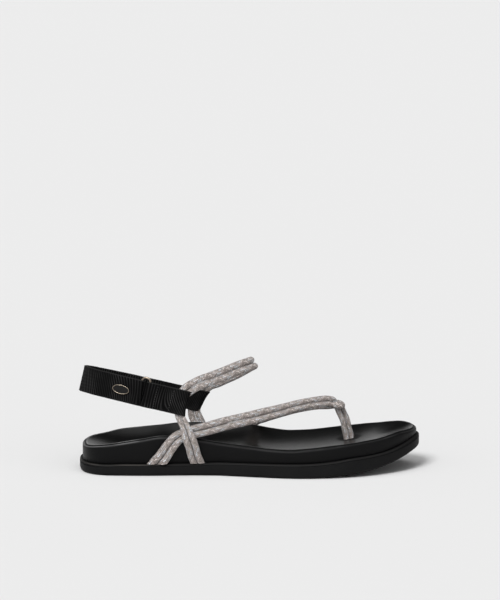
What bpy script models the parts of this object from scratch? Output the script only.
"""Rope sandal for the right foot: a contoured sole, a doubled cord upper and a webbing heel strap.

The toe points along +X, the inner (medial) side of the foot is +Y and the floor is Z = 0.
The origin lies on the floor under the middle of the heel.
"""

import math
from collections import namedtuple

import bmesh
import bpy
from mathutils import Vector

# Sole sizes in metres
OUTSOLE_LENGTH = 0.260
BALL_WIDTH = 0.092
HEEL_SET = 0.032
RIM_HEIGHT = 0.020
OUTSOLE_EDGE = 0.0105
TOE_SPRING = 0.0175
LEDGE = 0.0021
RIM_BAND = 0.0026
CREST_RISE = 0.0009
RIM_ROUND = 0.0018
OUTSOLE_ROUND = 0.0026
BEAD_HEIGHT = 0.0016
BEAD_DEPTH = 0.0005
INSOLE_THICK = 0.0020
GROOVE_DEPTH = 0.0012
GROOVE_WIDTH = 0.0022
GROOVE_PITCH = 0.0085
GROOVE_MARGIN = 0.0075
HEEL_GROOVES = 3
FOREFOOT_GROOVES = 8
FOREFOOT_REST = 0.60

# Upper sizes in metres
CORD_DIAMETER = 0.0050
CORD_SPACING = 0.0048
TOE_STRAP_RISE = 0.0510
INSTEP_RISE = 0.0810
POCKET_DEPTH = 0.0030
POST_DEPTH = 0.0060
KNOT_REACH = 0.0046
KNOT_TURN = 0.0033
CORD_STEP = 0.0062

# Heel strap sizes in metres and degrees
STRAP_WIDTH = 0.0197
STRAP_THICK = 0.0012
STRAP_RISE = 0.0705
LOOP_RISE = 0.0020
STRAP_PITCH = 13.0
STRAP_ROLL = 8.0
LAYER_GAP = 0.0005
LOOP_EASE = 0.0009
LOOP_TAPER = 0.78
TAPER_START = 0.22
TAPER_END = 0.31
RING_WIRE = 0.0016
RING_LENGTH = 0.0078
RING_OVERHANG = 0.0034
RING_TOP_ROUND = 0.8
RING_BASE_ROUND = 0.3
RING_PLACE = 0.187
BADGE_LENGTH = 0.0134
BADGE_WIDTH = 0.0062
BADGE_THICK = 0.0009
BADGE_PLACE = 0.121

# Clearance between pieces that meet
FIT = 0.0003

# Sampling
HEEL_CAP = 0.12
TOE_CAP = 0.23
HEEL_FULLNESS = 2.6
TOE_FULLNESS = 2.3
CAP_STEPS = 7
SIDE_STEPS = 15
SPINE_HEEL = 0.13
SPINE_TOE = 0.87
WIRE_SIDES = 8
STRAP_LEVELS = 6

LATERAL = -1
MEDIAL = 1

# Sections of the sole from heel to toe. Along is a share of the length, centre and half a share
# of the ball width, the two rims and the floor a share of the rim's height above the ledge, edge
# a share of the outsole's edge and spring a share of the toe spring.
Section = namedtuple("Section", "along centre half lateral medial floor edge spring")
SOLE = (
    Section(0.000, -0.005, 0.375, 0.570, 0.570, 0.430, 0.81, 0.00),
    Section(0.060, -0.005, 0.375, 0.622, 0.625, 0.430, 0.81, 0.00),
    Section(0.120, -0.005, 0.375, 0.719, 0.745, 0.411, 0.86, 0.00),
    Section(0.180, -0.014, 0.374, 0.868, 0.835, 0.436, 0.87, 0.00),
    Section(0.240, -0.022, 0.361, 0.985, 0.925, 0.487, 0.88, 0.00),
    Section(0.290, -0.027, 0.348, 1.003, 1.010, 0.533, 0.89, 0.00),
    Section(0.340, -0.033, 0.339, 0.918, 1.035, 0.577, 0.90, 0.00),
    Section(0.400, -0.040, 0.337, 0.745, 0.970, 0.585, 0.98, 0.00),
    Section(0.460, -0.049, 0.363, 0.655, 0.915, 0.574, 1.00, 0.00),
    Section(0.510, -0.052, 0.397, 0.594, 0.837, 0.514, 1.02, 0.00),
    Section(0.560, -0.050, 0.435, 0.529, 0.676, 0.403, 1.04, 0.00),
    Section(0.620, -0.042, 0.474, 0.499, 0.526, 0.328, 1.07, 0.00),
    Section(0.680, -0.030, 0.495, 0.540, 0.503, 0.315, 1.08, 0.02),
    Section(0.740, -0.013, 0.500, 0.557, 0.507, 0.317, 1.10, 0.08),
    Section(0.800, 0.004, 0.482, 0.524, 0.494, 0.280, 1.18, 0.15),
    Section(0.855, 0.020, 0.457, 0.534, 0.527, 0.324, 1.12, 0.26),
    Section(0.900, 0.035, 0.435, 0.530, 0.534, 0.384, 1.03, 0.40),
    Section(0.945, 0.054, 0.413, 0.481, 0.481, 0.353, 0.97, 0.60),
    Section(1.000, 0.098, 0.391, 0.191, 0.191, 0.082, 0.94, 1.00),
)

# How far out from the middle the footbed's rings lie, from its edge to the spine
FOOTBED_RINGS = (1.0, 0.93, 0.84, 0.72, 0.57, 0.40, 0.20, 0.0)
FOOTBED_DISH = 2.3

# Points that a doubled cord runs through on the sole's wall. Along is a share of the length, up
# a share of the wall from ledge to rim, out a share of the cord diameter that its middle stands
# off the wall. Spread points from the middle of the pair to its rear or upper cord.
WallPoint = namedtuple("WallPoint", "along up out spread")

# Points of a doubled cord above the sole. Along is a share of the length, across a share of the
# ball width and up a share of the strap's own rise.
FreePoint = namedtuple("FreePoint", "along across up spread")

TOE_STRAP_LATERAL = (
    WallPoint(0.217, -0.08, -0.20, (-1.0, 0.0, 0.2)),
    WallPoint(0.226, 0.06, 0.10, (-1.0, 0.0, 0.3)),
    WallPoint(0.244, 0.35, 0.56, (-1.0, 0.0, 0.5)),
    WallPoint(0.264, 0.68, 0.60, (-1.0, 0.0, 0.7)),
)
TOE_STRAP_OVER = (
    FreePoint(0.288, -0.384, 0.585, (-0.9, 0.0, 1.0)),
    FreePoint(0.310, -0.372, 0.640, (-0.5, 0.0, 1.0)),
    FreePoint(0.336, -0.345, 0.668, (-0.3, 0.1, 1.0)),
    FreePoint(0.377, -0.305, 0.704, (-0.2, 0.2, 1.0)),
    FreePoint(0.431, -0.250, 0.761, (-0.2, 0.2, 1.0)),
    FreePoint(0.485, -0.196, 0.804, (-0.2, 0.2, 1.0)),
    FreePoint(0.538, -0.141, 0.853, (-0.2, 0.2, 1.0)),
    FreePoint(0.590, -0.087, 0.902, (-0.2, 0.2, 1.0)),
    FreePoint(0.642, -0.033, 0.953, (-0.2, 0.2, 1.0)),
    FreePoint(0.696, 0.022, 0.985, (-0.3, 0.0, 1.0)),
    FreePoint(0.732, 0.055, 0.990, (-0.4, 0.0, 1.0)),
    FreePoint(0.752, 0.098, 0.955, (-0.7, 0.0, 1.0)),
    FreePoint(0.736, 0.145, 0.925, (-0.5, 0.0, 1.0)),
    FreePoint(0.700, 0.185, 0.905, (-0.4, 0.0, 1.0)),
    FreePoint(0.645, 0.222, 0.850, (-0.4, 0.0, 1.0)),
    FreePoint(0.590, 0.262, 0.770, (-0.4, -0.1, 1.0)),
    FreePoint(0.545, 0.300, 0.690, (-0.5, -0.1, 1.0)),
    FreePoint(0.512, 0.340, 0.610, (-0.8, -0.1, 1.0)),
)
TOE_STRAP_MEDIAL = (
    WallPoint(0.490, 0.72, 0.60, (-1.0, 0.0, 0.7)),
    WallPoint(0.470, 0.36, 0.58, (-1.0, 0.0, 0.5)),
    WallPoint(0.455, 0.06, 0.10, (-1.0, 0.0, 0.3)),
    WallPoint(0.447, -0.08, -0.20, (-1.0, 0.0, 0.2)),
)
INSTEP_LATERAL = (
    WallPoint(0.353, -0.08, -0.20, (-1.0, 0.0, 0.0)),
    WallPoint(0.346, 0.06, 0.10, (-1.0, 0.0, 0.0)),
    WallPoint(0.338, 0.35, 0.66, (-1.0, 0.0, 0.0)),
    WallPoint(0.327, 0.80, 1.25, (-1.0, 0.0, -0.1)),
)
INSTEP_OVER = (
    FreePoint(0.318, -0.430, 0.400, (-1.0, 0.0, -0.1)),
    FreePoint(0.307, -0.402, 0.500, (-1.0, 0.0, 0.0)),
    FreePoint(0.297, -0.370, 0.580, (-1.0, 0.0, 0.1)),
    FreePoint(0.304, -0.362, 0.700, (-1.0, 0.0, 0.2)),
    FreePoint(0.316, -0.350, 0.805, (-1.0, 0.0, 0.3)),
    FreePoint(0.344, -0.318, 0.872, (-0.7, 0.1, 1.0)),
    FreePoint(0.382, -0.265, 0.910, (-0.5, 0.1, 1.0)),
    FreePoint(0.419, -0.200, 0.940, (-0.5, 0.1, 1.0)),
    FreePoint(0.456, -0.130, 0.975, (-0.5, 0.1, 1.0)),
    FreePoint(0.492, -0.060, 1.002, (-0.5, 0.0, 1.0)),
    FreePoint(0.510, 0.022, 1.002, (-0.6, 0.0, 1.0)),
    FreePoint(0.495, 0.098, 0.958, (-0.7, 0.0, 1.0)),
    FreePoint(0.460, 0.165, 0.880, (-0.8, 0.0, 1.0)),
    FreePoint(0.412, 0.240, 0.792, (-0.9, 0.0, 1.0)),
    FreePoint(0.378, 0.302, 0.715, (-1.0, 0.0, 0.5)),
    FreePoint(0.360, 0.325, 0.645, (-1.0, 0.0, 0.3)),
    FreePoint(0.344, 0.330, 0.555, (-1.0, 0.0, 0.2)),
    FreePoint(0.332, 0.328, 0.470, (-1.0, 0.0, 0.1)),
)
INSTEP_MEDIAL = (
    WallPoint(0.345, 0.92, 0.62, (-1.0, 0.0, 0.0)),
    WallPoint(0.364, 0.45, 0.60, (-1.0, 0.0, -0.3)),
    WallPoint(0.380, 0.06, 0.10, (-1.0, 0.0, -0.3)),
    WallPoint(0.386, -0.08, -0.20, (-1.0, 0.0, -0.2)),
)
TOE_POST = (
    FreePoint(0.790, 0.130, 0.420, (1.0, 0.8, 0.0)),
    FreePoint(0.784, 0.125, 0.550, (1.0, 0.8, 0.0)),
    FreePoint(0.779, 0.119, 0.690, (1.0, 0.8, 0.1)),
    FreePoint(0.770, 0.110, 0.820, (1.0, 0.8, 0.3)),
    FreePoint(0.763, 0.103, 0.910, (1.0, 0.8, 0.5)),
)
KNOT = FreePoint(0.765, 0.103, 0.930, (0.97, 0.0, -0.22))

# Plan of the heel strap's inner layer, from the medial loop round the heel to the ring. Along is
# a share of the length and across a share of the ball width.
StrapPoint = namedtuple("StrapPoint", "along across")
HEEL_STRAP_PLAN = (
    StrapPoint(0.245, 0.316),
    StrapPoint(0.168, 0.294),
    StrapPoint(0.100, 0.262),
    StrapPoint(0.050, 0.196),
    StrapPoint(0.022, 0.100),
    StrapPoint(0.014, -0.015),
    StrapPoint(0.026, -0.130),
    StrapPoint(0.060, -0.222),
    StrapPoint(0.110, -0.280),
    StrapPoint(0.148, -0.312),
)


def share_at(column, along):
    """Read one column of the sole's table at a share of the length, with no overshoot."""
    rows = [(row.along, getattr(row, column)) for row in SOLE]
    along = min(max(along, rows[0][0]), rows[-1][0])
    slopes = [(b[1] - a[1]) / (b[0] - a[0]) for a, b in zip(rows, rows[1:])]
    tangents = [slopes[0]]
    for before, after in zip(slopes, slopes[1:]):
        same_way = before * after > 0
        tangents.append(2 * before * after / (before + after) if same_way else 0.0)
    tangents.append(slopes[-1])
    index = next(i for i in range(len(slopes)) if along <= rows[i + 1][0])
    start, end = rows[index], rows[index + 1]
    span = end[0] - start[0]
    t = (along - start[0]) / span
    rise = (2 * t**3 - 3 * t**2 + 1) * start[1] + (3 * t**2 - 2 * t**3) * end[1]
    bend = (t**3 - 2 * t**2 + t) * tangents[index] + (t**3 - t**2) * tangents[index + 1]
    return rise + bend * span


def place(along):
    return along * OUTSOLE_LENGTH - HEEL_SET


def centre(along):
    return BALL_WIDTH * share_at("centre", along)


def underside(along):
    return TOE_SPRING * share_at("spring", along)


def ledge(along):
    return underside(along) + OUTSOLE_EDGE * share_at("edge", along)


def rim(along, side):
    return ledge(along) + RIM_HEIGHT * share_at("lateral" if side < 0 else "medial", along)


def floor(along):
    return ledge(along) + RIM_HEIGHT * share_at("floor", along)


def width_factor(along):
    """Round the outline off at heel and toe with a full quarter oval each."""
    if along < HEEL_CAP:
        share = (HEEL_CAP - along) / HEEL_CAP
        return max(0.0, 1 - share**HEEL_FULLNESS) ** (1 / HEEL_FULLNESS)
    if along > 1 - TOE_CAP:
        share = (along - 1 + TOE_CAP) / TOE_CAP
        return max(0.0, 1 - share**TOE_FULLNESS) ** (1 / TOE_FULLNESS)
    return 1.0


def half_width(along):
    return BALL_WIDTH * share_at("half", along) * width_factor(along)


def stations():
    """Shares of the length where the outline has its points, from heel end to toe end."""
    quarter = [math.sin(math.pi / 2 * k / CAP_STEPS) for k in range(1, CAP_STEPS + 1)]
    heel = [HEEL_CAP * (1 - share) for share in reversed(quarter)]
    middle_length = 1 - HEEL_CAP - TOE_CAP
    middle = [HEEL_CAP + middle_length * k / SIDE_STEPS for k in range(SIDE_STEPS + 1)]
    toe = [1 - TOE_CAP * (1 - share) for share in quarter]
    return heel + middle + toe


def around():
    """Every outline point once: the lateral side from heel to toe, then the medial side back."""
    shares = stations()
    lateral = [(share, LATERAL) for share in shares]
    medial = [(share, MEDIAL) for share in reversed(shares[1:-1])]
    return lateral + medial


def spine_share(along):
    return min(max(along, SPINE_HEEL), SPINE_TOE)


def outline_point(along, side, inset):
    """A point of the outsole's outline, moved in towards the spine."""
    spine = Vector((place(spine_share(along)), centre(spine_share(along)), 0.0))
    edge = Vector((place(along), centre(along) + side * half_width(along), 0.0))
    reach = edge - spine
    return spine + reach * (1 - inset / reach.length)


def ring(bm, inset, height):
    """A closed loop of vertices at an inset from the outline; height is worked out per point."""
    verts = []
    for along, side in around():
        point = outline_point(along, side, inset)
        verts.append(bm.verts.new((point.x, point.y, height(along, side))))
    return verts


def footbed_rings(bm, inset, drop):
    """Loops of the dished footbed, from its edge down to the spine, lowered by drop."""
    rings = []
    for share in FOOTBED_RINGS:
        verts = []
        for along, side in around():
            edge = outline_point(along, side, inset)
            middle = spine_share(along)
            spine = Vector((place(middle), centre(middle), 0.0))
            point = spine.lerp(edge, share)
            low = floor(middle)
            high = rim(along, side) + CREST_RISE
            height = low + (high - low) * share**FOOTBED_DISH - drop
            verts.append(bm.verts.new((point.x, point.y, height)))
        rings.append(verts)
    return rings


def bridge(bm, loops):
    for lower, upper in zip(loops, loops[1:]):
        count = len(lower)
        for k in range(count):
            after = (k + 1) % count
            bm.faces.new((lower[k], lower[after], upper[after], upper[k]))


def close_across(bm, loop):
    """Close a loop of the sole with strips that run from side to side."""
    count = len(loop)
    last = count // 2
    for k in range(last):
        corners = [loop[k], loop[k + 1], loop[(count - k - 1) % count], loop[(count - k) % count]]
        bm.faces.new(list(dict.fromkeys(corners)))


def box_between(bm, low, high):
    """A box given by two opposite corners."""
    bmesh.ops.create_cube(bm, size=1.0)
    size = [b - a for a, b in zip(low, high)]
    middle = Vector([(a + b) / 2 for a, b in zip(low, high)])
    fresh = bm.verts[-8:]
    bmesh.ops.scale(bm, vec=size, verts=fresh)
    bmesh.ops.translate(bm, vec=middle, verts=fresh)


def material(name, colour, roughness, metallic=0.0):
    made = bpy.data.materials.new(name)
    made.use_nodes = True
    shader = made.node_tree.nodes["Principled BSDF"]
    shader.inputs["Base Color"].default_value = (*colour, 1.0)
    shader.inputs["Roughness"].default_value = roughness
    shader.inputs["Metallic"].default_value = metallic
    return made


def finish(name, bm, finish_material, sharp_degrees=38.0):
    """Turn a bmesh into a named object with outward faces and soft shading on its round parts."""
    bmesh.ops.remove_doubles(bm, verts=bm.verts, dist=1e-6)
    bmesh.ops.recalc_face_normals(bm, faces=bm.faces)
    mesh = bpy.data.meshes.new(name)
    bm.to_mesh(mesh)
    bm.free()
    mesh.shade_smooth()
    mesh.set_sharp_from_angle(angle=math.radians(sharp_degrees))
    made = bpy.data.objects.new(name, mesh)
    bpy.context.scene.collection.objects.link(made)
    if finish_material is not None:
        mesh.materials.append(finish_material)
    return made


def as_cutter(made):
    made.hide_render = True
    made.display_type = "WIRE"
    return made


def combine(target, tool, operation):
    joined = target.modifiers.new(tool.name, "BOOLEAN")
    joined.operation = operation
    joined.use_self = operation == "UNION"
    joined.object = tool


def smooth_path(points, step):
    """Points at even steps along a curve through the given points, each with its spread."""
    ends = [points[0], *points, points[-1]]
    path = []
    for a, b, c, d in zip(ends, ends[1:], ends[2:], ends[3:]):
        pieces = max(1, round((c[0] - b[0]).length / step))
        for k in range(pieces):
            t = k / pieces
            path.append(tuple(blend(a[n], b[n], c[n], d[n], t) for n in range(2)))
    path.append(points[-1])
    return path


def blend(a, b, c, d, t):
    """Catmull-Rom curve from b to c."""
    return 0.5 * (2 * b + (c - a) * t + (2 * a - 5 * b + 4 * c - d) * t**2
                  + (3 * b - a - 3 * c + d) * t**3)


def wall_point(row, side):
    """Where a cord's middle lies against the midsole's wall."""
    wall = centre(row.along) + side * (half_width(row.along) - LEDGE)
    low = ledge(row.along)
    high = rim(row.along, side)
    height = low + (high - low) * row.up
    if row.up < 0:
        height = low - POCKET_DEPTH
    across = wall + side * row.out * CORD_DIAMETER
    return Vector((place(row.along), across, height)), Vector(row.spread)


def free_point(row, rise):
    point = Vector((place(row.along), row.across * BALL_WIDTH, row.up * rise))
    return point, Vector(row.spread)


def toe_strap_route():
    lateral = [wall_point(row, LATERAL) for row in TOE_STRAP_LATERAL]
    over = [free_point(row, TOE_STRAP_RISE) for row in TOE_STRAP_OVER]
    medial = [wall_point(row, MEDIAL) for row in TOE_STRAP_MEDIAL]
    return smooth_path(lateral + over + medial, CORD_STEP)


def instep_route():
    lateral = [wall_point(row, LATERAL) for row in INSTEP_LATERAL]
    over = [free_point(row, INSTEP_RISE) for row in INSTEP_OVER]
    medial = [wall_point(row, MEDIAL) for row in INSTEP_MEDIAL]
    return smooth_path(lateral + over + medial, CORD_STEP)


def post_route():
    rows = [free_point(row, TOE_STRAP_RISE) for row in TOE_POST]
    foot, spread = rows[0]
    sunk = foot - Vector((0.0, 0.0, POST_DEPTH))
    return smooth_path([(sunk, spread), *rows], CORD_STEP)


def pair_profile(radius):
    """Outline of two cords that touch, as points across and out."""
    half = CORD_SPACING / 2
    neck = math.acos(half / radius)
    turn = 2 * (math.pi - neck)
    steps = 8
    right = []
    for k in range(steps):
        angle = -math.pi + neck + turn * k / steps
        right.append((half + radius * math.cos(angle), radius * math.sin(angle)))
    return right + [(-across, -out) for across, out in right]


def tangents(points, closed=False):
    count = len(points)
    result = []
    for k in range(count):
        after = points[(k + 1) % count] if closed else points[min(k + 1, count - 1)]
        before = points[k - 1] if closed else points[max(k - 1, 0)]
        result.append((after - before).normalized())
    return result


def sweep(bm, points, sides, profile, closed=False):
    """Carry a profile along points; sides gives the profile's first axis at each point."""
    loops = []
    for point, run, side in zip(points, tangents(points, closed), sides):
        across = (side - run * side.dot(run)).normalized()
        out = run.cross(across)
        loops.append([bm.verts.new(point + across * u + out * v) for u, v in profile])
    if closed:
        bridge(bm, loops + [loops[0]])
        return
    bridge(bm, loops)
    bm.faces.new(loops[0])
    bm.faces.new(loops[-1])


def cord_pair(name, route, radius, finish_material=None, extra=0.0):
    """A doubled cord along a route, lengthened by extra at both ends."""
    points = [point for point, spread in route]
    runs = tangents(points)
    points[0] = points[0] - runs[0] * extra
    points[-1] = points[-1] + runs[-1] * extra
    bm = bmesh.new()
    sweep(bm, points, [spread for point, spread in route], pair_profile(radius))
    return finish(name, bm, finish_material, 60.0)


def circle(radius, sides):
    turn = 2 * math.pi / sides
    return [(radius * math.cos(turn * k), radius * math.sin(turn * k)) for k in range(sides)]


def knot(name):
    """The turn of the post's cord that ties the two legs of the toe strap together."""
    middle, reach = free_point(KNOT, TOE_STRAP_RISE)
    across = Vector((0.0, 1.0, 0.0))
    reach.normalize()
    points = []
    for u, v in circle(1.0, 12):
        points.append(middle + across * u * KNOT_REACH + reach * v * KNOT_TURN)
    axis = across.cross(reach)
    bm = bmesh.new()
    sweep(bm, points, [axis] * len(points), circle(CORD_DIAMETER / 2, WIRE_SIDES), closed=True)
    return finish(name, bm, None, 60.0)


def make_outsole(rubber, cutters):
    bm = bmesh.new()
    low_round = OUTSOLE_ROUND * 0.3
    bead = BEAD_HEIGHT * 0.5
    loops = [
        ring(bm, OUTSOLE_ROUND, lambda s, side: underside(s)),
        ring(bm, low_round, lambda s, side: underside(s) + low_round),
        ring(bm, 0.0, lambda s, side: underside(s) + OUTSOLE_ROUND),
        ring(bm, 0.0, lambda s, side: ledge(s) - BEAD_HEIGHT - bead),
        ring(bm, BEAD_DEPTH, lambda s, side: ledge(s) - BEAD_HEIGHT),
        ring(bm, BEAD_DEPTH * 0.4, lambda s, side: ledge(s) - bead),
        ring(bm, BEAD_DEPTH * 2, lambda s, side: ledge(s)),
    ]
    bridge(bm, loops)
    close_across(bm, loops[0])
    close_across(bm, loops[-1])
    outsole = finish("outsole", bm, rubber)
    for cutter in cutters:
        combine(outsole, cutter, "DIFFERENCE")
    return outsole


def make_tread_grooves():
    """Cross grooves under heel and forefoot, laid out evenly about the two resting lugs."""
    bm = bmesh.new()
    pitch = GROOVE_PITCH / OUTSOLE_LENGTH
    heel = HEEL_SET / OUTSOLE_LENGTH
    places = [heel + pitch * (k + 0.5) for k in range(-HEEL_GROOVES, HEEL_GROOVES)]
    places += [FOREFOOT_REST + pitch * (k + 0.5) for k in range(-FOREFOOT_GROOVES // 2, FOREFOOT_GROOVES)]
    for along in places:
        reach = half_width(along) - GROOVE_MARGIN
        low = (place(along) - GROOVE_WIDTH / 2, centre(along) - reach, underside(along) - OUTSOLE_EDGE)
        high = (place(along) + GROOVE_WIDTH / 2, centre(along) + reach, underside(along) + GROOVE_DEPTH)
        box_between(bm, low, high)
    return as_cutter(finish("tread_grooves", bm, None))


def make_midsole(foam, cutters):
    bm = bmesh.new()
    band = LEDGE + RIM_BAND
    soft = RIM_ROUND * 0.3
    loops = [
        ring(bm, LEDGE, lambda s, side: ledge(s) + FIT),
        ring(bm, LEDGE, lambda s, side: rim(s, side) - RIM_ROUND),
        ring(bm, LEDGE + soft, lambda s, side: rim(s, side) - soft),
        ring(bm, LEDGE + RIM_ROUND, rim),
        ring(bm, band, lambda s, side: rim(s, side) + CREST_RISE),
    ]
    loops += footbed_rings(bm, band, INSOLE_THICK + FIT)
    bridge(bm, loops)
    close_across(bm, loops[0])
    midsole = finish("midsole", bm, foam)
    for cutter in cutters:
        combine(midsole, cutter, "DIFFERENCE")
    return midsole


def make_insole(cover, cutters):
    bm = bmesh.new()
    inset = LEDGE + RIM_BAND + FIT
    top = footbed_rings(bm, inset, 0.0)
    bottom = footbed_rings(bm, inset, INSOLE_THICK)
    bridge(bm, list(reversed(top)) + bottom)
    insole = finish("insole", bm, cover)
    for cutter in cutters:
        combine(insole, cutter, "DIFFERENCE")
    return insole


def strap_height(x, y):
    """Height of the heel strap's middle line over a point of its plan."""
    back = x + HEEL_SET
    plane = STRAP_RISE - back * math.tan(math.radians(STRAP_PITCH)) - y * math.tan(math.radians(STRAP_ROLL))
    return plane + LOOP_RISE * loop_share(x) * (y > 0)


def loop_share(x):
    """How far a place has come from the straight strap to the loops round the cords."""
    share = (x - place(TAPER_START)) / (place(TAPER_END) - place(TAPER_START))
    return min(max(share, 0.0), 1.0)


def on_strap(x, y):
    return Vector((x, y, strap_height(x, y)))


def strap_upright():
    """The direction of the strap's width, square to its tilted plane."""
    pitch = math.tan(math.radians(STRAP_PITCH))
    roll = math.tan(math.radians(STRAP_ROLL))
    return Vector((pitch, roll, 1.0)).normalized()


def crossing(route, low_side, level):
    """Where a cord route passes the strap's plane at a level of its width, moved to the middle line."""
    upright = strap_upright()
    points = [point for point, spread in route]
    for before, after in zip(points, points[1:]):
        if (before.y < 0) != low_side:
            continue
        gap_before = (before - on_strap(before.x, before.y)).dot(upright) - level
        gap_after = (after - on_strap(after.x, after.y)).dot(upright) - level
        if gap_before * gap_after <= 0:
            share = gap_before / (gap_before - gap_after)
            return before.lerp(after, share) - upright * level
    raise ValueError("the cord does not cross the strap")


def offset_path(points, distance):
    """Shift a plan path sideways by a distance, to the right of its run."""
    moved = []
    for point, run in zip(points, tangents(points)):
        flat = Vector((run.x, run.y)).normalized()
        moved.append(on_strap(point.x + flat.y * distance, point.y - flat.x * distance))
    return moved


def arc(middle, radius, start, end, steps):
    """Points of a turn in plan, angles in degrees."""
    points = []
    for k in range(steps + 1):
        angle = math.radians(start + (end - start) * k / steps)
        points.append(on_strap(middle.x + radius * math.cos(angle), middle.y + radius * math.sin(angle)))
    return points


def full_width(point):
    return 1.0


def narrow_at_loop(point):
    """The heel strap is pulled narrower where it turns round the medial cords."""
    share = loop_share(point.x) if point.y > 0 else 0.0
    return 1.0 + (LOOP_TAPER - 1.0) * share


def ribbon(bm, path_at, width_at, closed=False):
    """Webbing of the strap's thickness and width; path_at gives its path at a level of the width."""
    upright = strap_upright()
    half_thick = STRAP_THICK / 2
    levels = [STRAP_WIDTH * (k / (STRAP_LEVELS - 1) - 0.5) for k in range(STRAP_LEVELS)]
    faces = [[], []]
    for level in levels:
        points = path_at(level)
        outs = [run.cross(upright).normalized() * half_thick for run in tangents(points, closed)]
        for face, sign in zip(faces, (-1, 1)):
            face.append([point + out * sign + upright * level * width_at(point)
                         for point, out in zip(points, outs)])
    rim_points = faces[0] + faces[1][::-1]
    loops = [[bm.verts.new(corner) for corner in section] for section in zip(*rim_points)]
    if closed:
        bridge(bm, loops + [loops[0]])
        return
    bridge(bm, loops)
    bm.faces.new(loops[0])
    bm.faces.new(loops[-1])


def heel_strap_plan():
    rows = [(on_strap(place(row.along), row.across * BALL_WIDTH), Vector()) for row in HEEL_STRAP_PLAN]
    return [point for point, spread in smooth_path(rows, CORD_STEP)]


def ring_bars():
    """Middles of the ring's rear and front bars, on the strap's middle line."""
    end = heel_strap_plan()[-1]
    run = Vector((1.0, (end.y - heel_strap_plan()[-3].y) / (end.x - heel_strap_plan()[-3].x), 0.0))
    middle_x = place(RING_PLACE)
    half = RING_LENGTH / 2 - RING_WIRE / 2
    middle_y = end.y + (middle_x - end.x) * run.y
    run.normalize()
    rear = on_strap(middle_x - run.x * half, middle_y - run.y * half)
    front = on_strap(middle_x + run.x * half, middle_y + run.y * half)
    return rear, front


def flat_direction(start, end):
    return math.degrees(math.atan2(end.y - start.y, end.x - start.x))


def ring_tab_path(cords):
    """Closed path of the tab in plan: round the ring's front bar and round the cords."""
    bar = ring_bars()[1]
    bar_turn = RING_WIRE / 2 + FIT + STRAP_THICK / 2
    cord_turn = CORD_DIAMETER / 2 + LOOP_EASE + STRAP_THICK / 2
    pinch = (LAYER_GAP + STRAP_THICK) / 2
    heading = flat_direction(bar, cords)
    run = Vector((math.cos(math.radians(heading)), math.sin(math.radians(heading)), 0.0))
    left = Vector((-run.y, run.x, 0.0))
    rear_cord = cords - run * (CORD_SPACING / 2)
    front_cord = cords + run * (CORD_SPACING / 2)
    length = (rear_cord - bar).length
    places = ((0.12, bar_turn * 0.75), (0.25, pinch), (0.45, pinch), (0.62, pinch * 1.2),
              (0.80, cord_turn * 0.75), (0.92, cord_turn * 0.96))
    sides = [(bar + run * length * share, out) for share, out in places] + [(rear_cord, cord_turn)]
    outer = [on_strap(*(point - left * out).xy) for point, out in sides]
    inner = [on_strap(*(point + left * out).xy) for point, out in reversed(sides)]
    points = arc(bar, bar_turn, heading + 110, heading + 250, 4)
    points += outer
    points += arc(front_cord, cord_turn, heading - 90, heading + 90, 8)
    return points + inner


def make_ring_tab(webbing, route):
    """Doubled webbing from the ring's front bar round the lateral cords."""
    bm = bmesh.new()
    ribbon(bm, lambda level: ring_tab_path(crossing(route, True, level)), full_width, closed=True)
    return finish("ring_tab", bm, webbing)


def medial_loop(cords, plan_start):
    """The end of the strap that turns round the medial cords, from its sewn end on."""
    cord_turn = CORD_DIAMETER / 2 + LOOP_EASE + STRAP_THICK / 2
    layer = LAYER_GAP + STRAP_THICK
    heading = flat_direction(plan_start, cords)
    run = Vector((math.cos(math.radians(heading)), math.sin(math.radians(heading)), 0.0))
    left = Vector((-run.y, run.x, 0.0))
    rear_cord = cords - run * (CORD_SPACING / 2)
    front_cord = cords + run * (CORD_SPACING / 2)
    length = (rear_cord - plan_start).length
    sewn = [(0.30, -layer), (0.50, -layer), (0.72, -layer), (0.86, -cord_turn * 0.9)]
    points = [on_strap(*(plan_start + run * length * share + left * out).xy) for share, out in sewn]
    points += [on_strap(*(rear_cord - left * cord_turn).xy)]
    points += arc(front_cord, cord_turn, heading - 90, heading + 90, 8)
    points += [on_strap(*(rear_cord + left * cord_turn).xy)]
    back = [(0.86, cord_turn * 0.75), (0.72, layer * 0.1), (0.50, 0.0), (0.30, 0.0)]
    points += [on_strap(*(plan_start + run * length * share + left * out).xy) for share, out in back]
    return points


def heel_strap_path(cords):
    """Path of the strap in plan: medial loop, round the heel, the ring and back over itself."""
    inner = heel_strap_plan()
    rear_bar = ring_bars()[0]
    heading = flat_direction(inner[-3], inner[-1])
    bar_turn = RING_WIRE / 2 + FIT + STRAP_THICK / 2
    flap = offset_path(inner, LAYER_GAP + STRAP_THICK)
    flap.reverse()
    turn = arc(rear_bar, bar_turn, heading + 105, heading - 105, 8)
    return medial_loop(cords, inner[0]) + inner + turn + flap[: len(flap) - flap_drop()]


def make_heel_strap(webbing, route):
    """Webbing from the medial loop round the heel, through the ring and back over itself."""
    bm = bmesh.new()
    ribbon(bm, lambda level: heel_strap_path(crossing(route, False, level * LOOP_TAPER)), narrow_at_loop)
    return finish("heel_strap", bm, webbing)


def flap_drop():
    """How many of the path's points the flap leaves bare on the medial side."""
    return len([point for point in heel_strap_plan() if point.y > 0 and point.x > place(0.07)])


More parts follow.
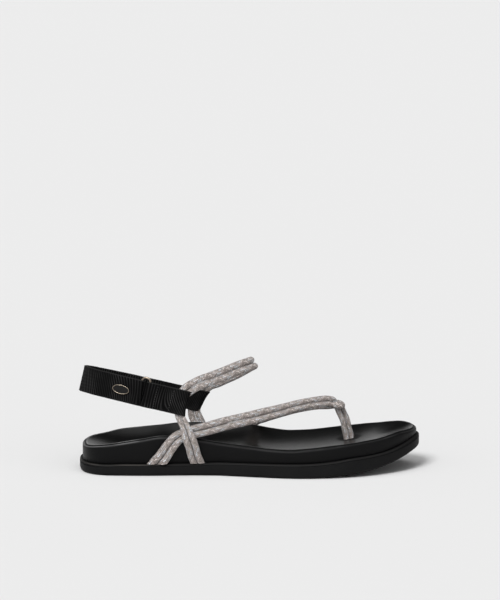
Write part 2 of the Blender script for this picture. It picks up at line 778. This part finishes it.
def make_strap_ring(metal):
    """A rectangular wire ring with round corners, a little taller than the webbing."""
    rear, front = ring_bars()
    upright = strap_upright()
    run = (front - rear).normalized()
    middle = (rear + front) / 2
    half_run = (front - rear).length / 2
    low = STRAP_WIDTH / 2 + FIT * 2 + RING_WIRE / 2
    high = STRAP_WIDTH / 2 + RING_OVERHANG - RING_WIRE / 2
    points = []
    for turn, (u, v) in enumerate(((1, 1), (-1, 1), (-1, -1), (1, -1))):
        reach = high if v > 0 else low
        corner = half_run * (RING_TOP_ROUND if v > 0 else RING_BASE_ROUND)
        centre_point = middle + run * u * (half_run - corner) + upright * v * (reach - corner)
        for k in range(4):
            angle = math.radians(90 * turn + 30 * k)
            points.append(centre_point + (run * math.cos(angle) + upright * math.sin(angle)) * corner)
    out = run.cross(upright)
    bm = bmesh.new()
    sweep(bm, points, [out] * len(points), circle(RING_WIRE / 2, WIRE_SIDES), closed=True)
    return finish("strap_ring", bm, metal, 60.0)


def make_badge_plate(metal):
    """A plain oval plate on the outer layer of the strap."""
    inner = heel_strap_plan()
    lateral = [point for point in inner if point.y < 0]
    seat = min(lateral, key=lambda point: abs(point.x - place(BADGE_PLACE)))
    index = inner.index(seat)
    run = (inner[index + 1] - inner[index - 1]).normalized()
    upright = strap_upright()
    out = run.cross(upright).normalized()
    sink = STRAP_THICK * 1.5 + LAYER_GAP + FIT * 1.2
    rounds = 24
    levels = ((0.0, 1.0), (0.65, 1.0), (1.0, 0.90))
    bm = bmesh.new()
    loops = []
    for height, size in levels:
        middle = seat + out * (sink + BADGE_THICK * height)
        loops.append([bm.verts.new(middle + run * u * BADGE_LENGTH / 2 * size
                                   + upright * v * BADGE_WIDTH / 2 * size)
                      for u, v in circle(1.0, rounds)])
    bridge(bm, loops)
    bm.faces.new(loops[0])
    bm.faces.new(loops[-1])
    return finish("badge_plate", bm, metal)


def make_rope_upper(cord):
    """Toe strap, instep strap, toe post and knot as one solid, joined where the cords cross."""
    radius = CORD_DIAMETER / 2
    upper = cord_pair("rope_upper", toe_strap_route(), radius, cord)
    instep = cord_pair("instep_cords", instep_route(), radius)
    post = cord_pair("post_cords", post_route(), radius)
    for piece in (instep, post, knot("knot_turn")):
        combine(upper, as_cutter(piece), "UNION")
    return upper


def main():
    for old in list(bpy.data.objects):
        bpy.data.objects.remove(old, do_unlink=True)
    rubber = material("outsole_rubber", (0.012, 0.012, 0.013), 0.75)
    foam = material("midsole_foam", (0.010, 0.010, 0.011), 0.55)
    cover = material("footbed_cover", (0.011, 0.011, 0.011), 0.6)
    cord = material("grey_cord", (0.36, 0.32, 0.30), 0.85)
    webbing = material("black_webbing", (0.008, 0.008, 0.008), 0.8)
    metal = material("dark_metal", (0.30, 0.26, 0.22), 0.35, 1.0)

    clear = CORD_DIAMETER / 2 + FIT
    toe_pocket = as_cutter(cord_pair("toe_strap_pocket", toe_strap_route(), clear, None, FIT))
    instep_pocket = as_cutter(cord_pair("instep_pocket", instep_route(), clear, None, FIT))
    post_bore = as_cutter(cord_pair("toe_post_bore", post_route(), clear, None, FIT))

    make_outsole(rubber, (make_tread_grooves(), toe_pocket, instep_pocket))
    make_midsole(foam, (toe_pocket, instep_pocket, post_bore))
    make_insole(cover, (toe_pocket, instep_pocket, post_bore))
    make_rope_upper(cord)
    make_ring_tab(webbing, instep_route())
    make_heel_strap(webbing, instep_route())
    make_strap_ring(metal)
    make_badge_plate(metal)


main()
